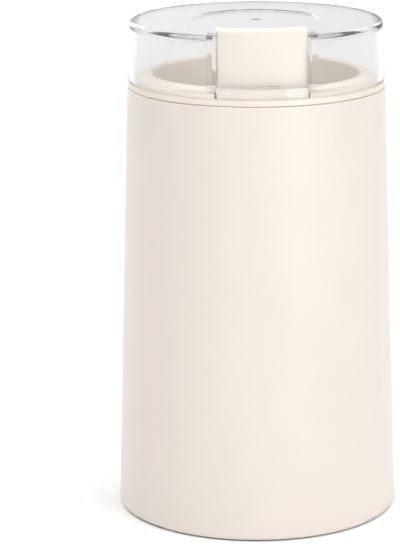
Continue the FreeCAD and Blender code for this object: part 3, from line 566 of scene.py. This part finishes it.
# %% Layered metals
def layered_finish(name, colour, roughness, pitch):
    """Metal in layers on top of each other, one in every pitch in metres."""
    material, tree, shader = new_material(name)
    place = place_on_part(tree)
    layers = add(tree, "ShaderNodeTexWave", bands_direction="Z")
    # At scale 1 the texture has a band in every pi / 10 metres.
    layers.inputs["Scale"].default_value = math.pi / 10 / pitch
    layers.inputs["Distortion"].default_value = 0.6
    tree.links.new(place, layers.inputs["Vector"])
    marks = layers.outputs["Fac"]
    paint(tree, shader, shade(tree, marks, tinted(colour, 0.7), tinted(colour, 1.1)))
    cloud = mottled(tree, place, scale=200, detail=4)
    roughen(tree, shader, between(tree, cloud, roughness - 0.06, roughness + 0.08))
    grain(tree, shader, marks, depth=pitch / 6)
    shader.inputs["Metallic"].default_value = 1.0
    return material


sheet_pitch = 0.0005
wire_pitch = 0.0007
layered_finish("lamination_steel", (0.20, 0.205, 0.215), 0.45, sheet_pitch)
layered_finish("copper", (0.72, 0.30, 0.15), 0.3, wire_pitch)
print("sheets every", sheet_pitch * 1000, "mm, wires every", wire_pitch * 1000, "mm")

# %% [markdown]
# The bowl was spun and polished, and the shaft was turned, so their marks are rings round the axis. A mapped
# picture would need its seams hidden. Noise that is read at the distance from the axis, and not at the place
# itself, makes rings without a seam.

# %% Spun and turned metals
def spun_finish(name, colour, roughness, scale=2200, depth=0.000003):
    """Metal that was turned or spun: its marks are rings round the axis."""
    material, tree, shader = new_material(name)
    split = add(tree, "ShaderNodeSeparateXYZ")
    tree.links.new(place_on_part(tree), split.inputs["Vector"])
    x_squared = math_step(tree, "MULTIPLY", split.outputs["X"], split.outputs["X"])
    squares = math_step(tree, "MULTIPLY_ADD", split.outputs["Y"], split.outputs["Y"], x_squared)
    ring_place = add(tree, "ShaderNodeCombineXYZ")
    tree.links.new(math_step(tree, "SQRT", squares), ring_place.inputs["X"])
    tree.links.new(split.outputs["Z"], ring_place.inputs["Z"])
    rings = mottled(tree, ring_place.outputs["Vector"], scale, detail=3)
    cloud = mottled(tree, place_on_part(tree), scale=45, detail=4)
    paint(tree, shader, shade(tree, rings, tinted(colour, 0.93), tinted(colour, 1.04)))
    roughen(tree, shader, between(tree, cloud, roughness - 0.05, roughness + 0.06))
    grain(tree, shader, rings, depth)
    shader.inputs["Metallic"].default_value = 1.0
    return material


bowl_steel = spun_finish("bowl_steel", (0.72, 0.71, 0.69), 0.22)
shaft_steel = spun_finish("shaft_steel", (0.60, 0.61, 0.62), 0.2)
print("spun and turned:", bowl_steel.name, shaft_steel.name)

# %% [markdown]
# The motor's brushes are pressed carbon: nearly black, with tiny grey specks that shine a little more than
# the rest. One noise drives colour, roughness and relief, so that the specks agree.

# %% Carbon
def carbon_finish():
    """Pressed carbon with fine specks."""
    material, tree, shader = new_material("carbon")
    speck = mottled(tree, place_on_part(tree), scale=900, detail=6)
    paint(tree, shader, shade(tree, speck, (0.008, 0.008, 0.009), (0.03, 0.03, 0.032)))
    roughen(tree, shader, between(tree, speck, 0.35, 0.6))
    grain(tree, shader, speck, depth=0.00001)
    return material


carbon = carbon_finish()
print("carbon finish:", carbon.name)

# %% [markdown]
# ## The lid
# The lid is the hardest piece to look at: clear plastic shows every flat of its mesh as a bead in its edges.
# The CAD mesh is made of few long strips, so the lid is built again from the same sizes with many fine
# steps. It starts as two sections, one of the outside and one of the hollow. Their corners could be beveled
# later, but arcs in the section keep the rounding even all the way round.

# %% Draw the sections of the lid, in mm
lid_seat = 142.7
lid_top = 162.2
foot_radius = 41.75
top_radius = 41.0
lid_wall = 2.0
hollow_floor = lid_seat - 1
hollow_top = lid_top - 1.8


def rounded(corners, steps=7, support=0.08):
    """Points of a closed section from (radius, height, rounding) corners, with arcs at the roundings.

    A point at the support distance before and after each arc keeps the shading of the flats even.
    """
    points = []
    for i, corner in enumerate(corners):
        here = Vector(corner[:2])
        before = Vector(corners[i - 1][:2]) - here
        after = Vector(corners[(i + 1) % len(corners)][:2]) - here
        rounding = corner[2] if len(corner) > 2 else 0
        if not rounding:
            points.append(here)
            continue
        half = before.angle(after) / 2
        setback = rounding / math.tan(half)
        centre = here + (before.normalized() + after.normalized()).normalized() * rounding / math.sin(half)
        first = here + before.normalized() * setback
        last = here + after.normalized() * setback
        points.append(first + before.normalized() * support)
        for step in range(steps + 1):
            spoke = (first - centre).slerp(last - centre, step / steps).normalized()
            points.append(centre + spoke * rounding)
        points.append(last + after.normalized() * support)
    return points


outside = rounded([(0, lid_seat), (foot_radius, lid_seat, 0.3), (top_radius, lid_top, 1.6), (0, lid_top)])
hollow = rounded([(0, hollow_floor), (foot_radius - lid_wall, hollow_floor),
                  (top_radius - lid_wall, hollow_top, 1.0), (0, hollow_top)])
print("section points:", len(outside), "outside and", len(hollow), "in the hollow")

# %% [markdown]
# Each section becomes a closed solid of revolution. Blender's screw modifier can do that too. Here every ring
# is placed in code, with a single point where the section meets the axis, because only a mesh that is closed
# everywhere cuts cleanly.

# %% Turn the sections into solids
def solid_from(name, mesh):
    """Object from a bmesh in mm, with its faces turned outwards."""
    bmesh.ops.recalc_face_normals(mesh, faces=mesh.faces)
    data = bpy.data.meshes.new(name)
    mesh.to_mesh(data)
    mesh.free()
    piece = bpy.data.objects.new(name, data)
    bpy.context.scene.collection.objects.link(piece)
    return piece


def spun(name, points, turns=256):
    """Closed solid of revolution round Z from a section of (radius, height) points in mm."""
    mesh = bmesh.new()
    rings = []
    for radius, height in points:
        if radius < 1e-6:
            # On the axis a ring is one point, taken once for each step round.
            rings.append([mesh.verts.new((0, 0, height))] * turns)
            continue
        angles = [2 * math.pi * i / turns for i in range(turns)]
        rings.append([mesh.verts.new((radius * math.cos(a), radius * math.sin(a), height)) for a in angles])
    for ring, following in zip(rings, rings[1:] + rings[:1]):
        for i in range(turns):
            corners = (ring[i], ring[(i + 1) % turns], following[(i + 1) % turns], following[i])
            corners = list(dict.fromkeys(corners))
            if len(corners) > 2:
                mesh.faces.new(corners)
    return solid_from(name, mesh)


lid_shell = spun("clear_lid", outside)
lid_hollow = spun("lid_hollow", hollow)
print("lid faces before cutting:", len(lid_shell.data.polygons))

# %% [markdown]
# The button stands in a pocket at the front of the lid, with two side walls and a back. Thin walls could be
# joined to the cup, but then each joint has to be found again on a slope. Here the hollow is kept out of the
# pocket's outline, so the plastic stands solid there, one piece with the cup, until the window is cut.

# %% Leave plastic standing for the pocket
pocket_back = 32.6
pocket_edge = 145.75
pocket_side = 17
past_hollow = 50
above_lid = 170


def skinned(name, rows):
    """Closed solid through rows of points in mm, each row a closed section."""
    mesh = bmesh.new()
    rows = [[mesh.verts.new(point) for point in row] for row in rows]
    for row, following in zip(rows, rows[1:]):
        for i in range(len(row)):
            j = (i + 1) % len(row)
            mesh.faces.new((row[i], row[j], following[j], following[i]))
    mesh.faces.new(rows[0])
    mesh.faces.new(reversed(rows[-1]))
    return solid_from(name, mesh)


def front_bar(name, points, left, right, stations=64):
    """Closed bar at the front that follows circles round Z, between two planes of constant X."""
    places = [left + (right - left) * station / stations for station in range(stations + 1)]
    return skinned(name, [[(x, -math.sqrt(r * r - x * x), z) for r, z in points] for x in places])


def combine(piece, tool, how="DIFFERENCE"):
    """Cut the tool out of a piece, or join it, and throw the tool away."""
    cut = piece.modifiers.new("combine", "BOOLEAN")
    cut.operation = how
    cut.object = tool
    cut.solver = "EXACT"
    scene_now = bpy.context.evaluated_depsgraph_get()
    made = bpy.data.meshes.new_from_object(piece.evaluated_get(scene_now))
    piece.modifiers.clear()
    piece.data = made
    bpy.data.objects.remove(tool)


pocket = rounded([(pocket_back, pocket_edge), (past_hollow, pocket_edge), (past_hollow, above_lid),
                  (pocket_back, above_lid)])
combine(lid_hollow, front_bar("pocket_walls", pocket, -pocket_side, pocket_side))
combine(lid_shell, lid_hollow)
print("lid faces with its hollow:", len(lid_shell.data.polygons))

# %% [markdown]
# The window is open at the top and ends in a sill at the front. Behind the sill it runs on down as a slot,
# through which the button passes. One bar with a step in its section cuts both at once, and keeps the skirt
# below the sill as thick as it is on the real moulding. A small nib stands on the sill.

# %% Cut the window and add the nib
window_back = 34.2
window_side = 14.6
slot_front = foot_radius - lid_wall
slot_floor = 141
sill = 146.1
past_lid = 60
window = rounded([(window_back, slot_floor), (slot_front, slot_floor), (slot_front, sill, 0.3),
                  (past_lid, sill), (past_lid, above_lid), (window_back, above_lid)])
combine(lid_shell, front_bar("window", window, -window_side, window_side))

nib_inner = 40.15
nib_outer = 41.25
nib_root = 145.1
nib_top = 146.8
nib = rounded([(nib_inner, nib_root), (nib_outer, nib_root), (nib_outer, nib_top, 0.3),
               (nib_inner, nib_top, 0.3)])
combine(lid_shell, front_bar("nib", nib, left=1.0, right=5.2, stations=12), "UNION")
print("lid faces with its window:", len(lid_shell.data.polygons))

# %% [markdown]
# The top has a shallow round dish with a tiny hollow in its centre, such as is left where plastic enters a
# mould. A bump in the material would shade it, but only a real step bends what is seen through it.

# %% Dish the top
dish_floor = lid_top - 0.45
dish_radius = 20.2
gate_radius = 1.85
gate_depth = 0.35
above_dish = lid_top + 1
dish = rounded([(0, dish_floor - gate_depth), (gate_radius, dish_floor - 0.01), (1.9, dish_floor),
                (2.0, dish_floor), (dish_radius, dish_floor, 0.3), (20.5, above_dish), (0, above_dish)])
combine(lid_shell, spun("dish", dish))
print("lid faces with its dish:", len(lid_shell.data.polygons))

# %% [markdown]
# The cuts were made in mm, where Blender's booleans are surer, so the lid is brought to metres at the end. It
# is shaded smooth except at its real corners. Then it rides on the lid's body and stands for the lid's solid,
# which stays in the physics.

# %% Finish the lid
def finish_mesh(piece, sharpest=32):
    """Bring a piece from mm to metres and shade it smooth, but for edges sharper than an angle in degrees."""
    mesh = bmesh.new()
    mesh.from_mesh(piece.data)
    bmesh.ops.remove_doubles(mesh, verts=mesh.verts, dist=0.0005)
    bmesh.ops.scale(mesh, vec=(0.001, 0.001, 0.001), verts=mesh.verts)
    mesh.to_mesh(piece.data)
    mesh.free()
    piece.data.shade_smooth()
    piece.data.set_sharp_from_angle(angle=math.radians(sharpest))


def open_edges(piece):
    """How many edges of a mesh don't have just two faces."""
    mesh = bmesh.new()
    mesh.from_mesh(piece.data)
    count = sum(len(edge.link_faces) != 2 for edge in mesh.edges)
    mesh.free()
    return count


def fit_out(piece, body, slot, *stands_for):
    """Give a new piece its body and its finish, and hide the solids that it stands for."""
    piece.data.materials.clear()
    piece.data.materials.append(bpy.data.materials[slot])
    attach(piece, body)
    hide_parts(*stands_for)
    print(piece.name, "faces:", len(piece.data.polygons), "open edges:", open_edges(piece))


finish_mesh(lid_shell)
fit_out(lid_shell, "lid", "clear_plastic", "lid")

# %% [markdown]
# ## Fine lines
# The solids leave wide gaps under the collar's ring and under the casing, where the real mouldings show hair
# lines. Both could be modelled again, but a copy of the solid with one edge brought down keeps every boss and
# hook inside.

# %% Bring the edges of the mouldings down
def copied(name, node):
    """New piece with a copy of a solid's mesh."""
    piece = bpy.data.objects.new(name, frame["nodes"][node].data.copy())
    piece.data.name = name
    bpy.context.scene.collection.objects.link(piece)
    return piece


def lower_edge(piece, bottom, top, inner, distance):
    """Move the points between two heights, and outside a radius, down by a distance, all in metres."""
    margin = 0.00001
    mesh = bmesh.new()
    mesh.from_mesh(piece.data)
    edge = [v for v in mesh.verts if bottom - margin < v.co.z < top + margin and v.co.xy.length > inner]
    for point in edge:
        point.co.z -= distance
    mesh.to_mesh(piece.data)
    mesh.free()
    piece.data.shade_smooth()
    piece.data.set_sharp_from_angle(angle=math.radians(30))
    print(piece.name, "points moved:", len(edge))


top_collar = copied("top_collar", "collar")
lower_edge(top_collar, bottom=0.14085, top=0.1411, inner=0.0407, distance=0.0003)
fit_out(top_collar, "base", "cream_collar", "collar")
tapered_casing = copied("tapered_casing", "body_shell")
lower_edge(tapered_casing, bottom=0.001, top=0.0021, inner=0.04, distance=0.0006)
fit_out(tapered_casing, "base", "cream_casing", "body_shell")

# %% [markdown]
# ## The button's springs
# Two coil springs lift the button. A spring on a fixed seat gets shorter when the button comes down, which
# neither of the two bodies can show. Here the springs are a copy of their solid, carried by the base at full
# length.

# %% Carry the springs on the base
pressed_springs = copied("pressed_springs", "button_springs")
pressed_springs.data.shade_smooth()
fit_out(pressed_springs, "base", "spring_steel", "button_springs")
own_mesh(pressed_springs)

# %% [markdown]
# ## The blade
# The blade is stamped from sheet steel, twisted, and ground to an edge along both sides of each arm. One arm
# is swept up and the other down, so that they reach the whole load. A flat plate could be bent with a
# modifier, but an arm that is skinned through sections has its ground edges and its round tip built in.

# %% Shape the arms of the blade, in mm
blade_top = 104.8
blade_thick = 1.4
ground_width = 1.5
edge_left = 0.16
least_flat = 0.3

# Each row is a section's distance from the axis, half its width, its share of the tip's lift and its twist
# in degrees.
arm_sections = (
    (3.4, 5.0, 0.0, 0),
    (9.0, 5.4, 0.0, 0),
    (12.5, 5.3, 0.25, 3),
    (16.0, 5.0, 0.55, 7),
    (19.5, 4.4, 0.75, 9.5),
    (22.5, 3.7, 0.88, 11),
    (24.2, 3.0, 0.95, 11.6),
    (25.1, 2.1, 0.98, 11.9),
    (25.55, 1.0, 1.0, 12),
)


def blade_arm(name, side, tip_lift):
    """One arm, from inside the eye to a rounded tip. Side is 1 or -1, and tip_lift is in mm."""
    rows = []
    for distance, half_width, share, twist in arm_sections:
        flat = max(half_width - ground_width, half_width * least_flat)
        section = [(-half_width, -edge_left), (-flat, -blade_thick / 2), (flat, -blade_thick / 2),
                   (half_width, -edge_left), (half_width, edge_left), (flat, blade_thick / 2),
                   (-flat, blade_thick / 2), (-half_width, edge_left)]
        turn = math.radians(twist)
        middle_z = blade_top - blade_thick / 2 + tip_lift * share
        rows.append([(side * distance, side * (y * math.cos(turn) - z * math.sin(turn)),
                      middle_z + y * math.sin(turn) + z * math.cos(turn)) for y, z in section])
    return skinned(name, rows)


arm_up = blade_arm("arm_up", side=1, tip_lift=4.6)
arm_down = blade_arm("arm_down", side=-1, tip_lift=-2.2)
print("arm sections:", len(arm_sections))

# %% [markdown]
# The arms meet in a flat round eye, which sits on the hub and has a hole for the shaft. It is spun like the
# lid, the arms are joined to it, and the hole is cut last, so that it goes through all three.

# %% Join the blade round its eye
eye_radius = 6.2
eye_bottom = blade_top - blade_thick
eye = rounded([(0, eye_bottom), (eye_radius, eye_bottom, 0.15), (eye_radius, blade_top, 0.15),
               (0, blade_top)], steps=3, support=0.02)
ground_blade = spun("ground_blade", eye, turns=96)
combine(ground_blade, arm_up, "UNION")
combine(ground_blade, arm_down, "UNION")
hole_radius = 3.0
hole_bottom = 95
hole_top = 115
hole = [(0, hole_bottom), (hole_radius, hole_bottom), (hole_radius, hole_top), (0, hole_top)]
combine(ground_blade, spun("shaft_hole", hole, turns=64))
finish_mesh(ground_blade, sharpest=20)
fit_out(ground_blade, "rotor", "blade_steel", "blade")

# %% [markdown]
# ## Dress the solids
# The other pieces keep their CAD meshes. Each could be dressed by hand, but the record already names the
# finish that every solid takes, so one loop dresses them all.

# %% Give each solid its finish
for part in frame["record"]["subparts"]:
    solid = frame["nodes"][part["node"]]
    solid.data.materials.clear()
    solid.data.materials.append(bpy.data.materials[part["material_slot"]])
